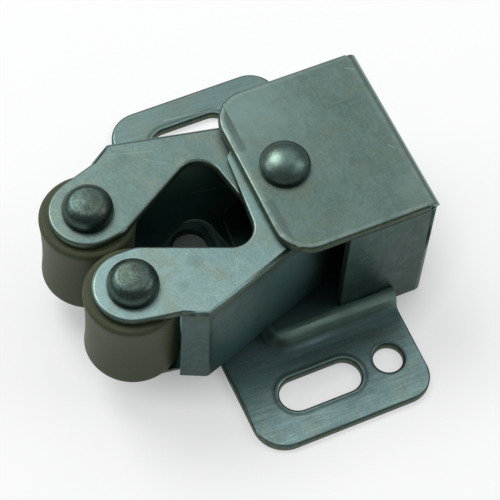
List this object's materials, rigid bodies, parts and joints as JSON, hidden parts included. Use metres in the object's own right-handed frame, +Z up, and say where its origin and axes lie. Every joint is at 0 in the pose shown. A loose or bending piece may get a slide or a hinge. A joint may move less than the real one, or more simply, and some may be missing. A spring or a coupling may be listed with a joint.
{
  "type": "double roller catch",
  "caption": "Cabinet catch with two sprung, folded steel arms that carry nylon rollers and pivot in a flanged sheet-metal housing.",
  "frame": {"origin": "on the mounting plane, under the axis of the pivot rivet", "axes": "+Z up from the mounting plane along the pivot axis, -Y towards the rollers, X along the line of the screw holes"},
  "size_m": [0.048, 0.0411, 0.0212],
  "materials": {
    "zinc_plate_base": "satin zinc plating",
    "zinc_plate_cover": "satin zinc plating",
    "zinc_plate_arm": "satin zinc plating",
    "rivet_steel": "formed head, satin zinc plating",
    "roller_nylon": "natural nylon",
    "spring_wire": "drawn wire"
  },
  "bodies": {
    "housing": {"base_plate": "zinc_plate_base", "housing_cover": "zinc_plate_cover", "pivot_rivet": "rivet_steel"},
    "right_arm": {"right_arm": "zinc_plate_arm", "right_roller_pin": "rivet_steel", "spring": "spring_wire"},
    "left_arm": {"left_arm": "zinc_plate_arm", "left_roller_pin": "rivet_steel"},
    "right_roller": {"right_roller": "roller_nylon"},
    "left_roller": {"left_roller": "roller_nylon"}
  },
  "joints": [
    {"name": "arm_pair_swing", "type": "hinge", "parent": "housing", "child": "right_arm", "pos_m": [0, 0, 0.0106], "axis": [0, 0, 1], "range_deg": [-12.6, 5.4]},
    {"name": "arm_spread", "type": "hinge", "parent": "right_arm", "child": "left_arm", "pos_m": [0, 0, 0.0106], "axis": [0, 0, -1], "range_deg": [0, 20], "stiffness_Nm_per_rad": 0.12, "springref_deg": -20.05, "deforming": ["spring"]},
    {"name": "right_roller_spin", "type": "hinge", "parent": "right_arm", "child": "right_roller", "pos_m": [0.00688, -0.02101, 0.0111], "axis": [0, 0, 1], "continuous": true},
    {"name": "left_roller_spin", "type": "hinge", "parent": "left_arm", "child": "left_roller", "pos_m": [-0.0042, -0.02171, 0.0101], "axis": [0, 0, 1], "continuous": true}
  ]
}
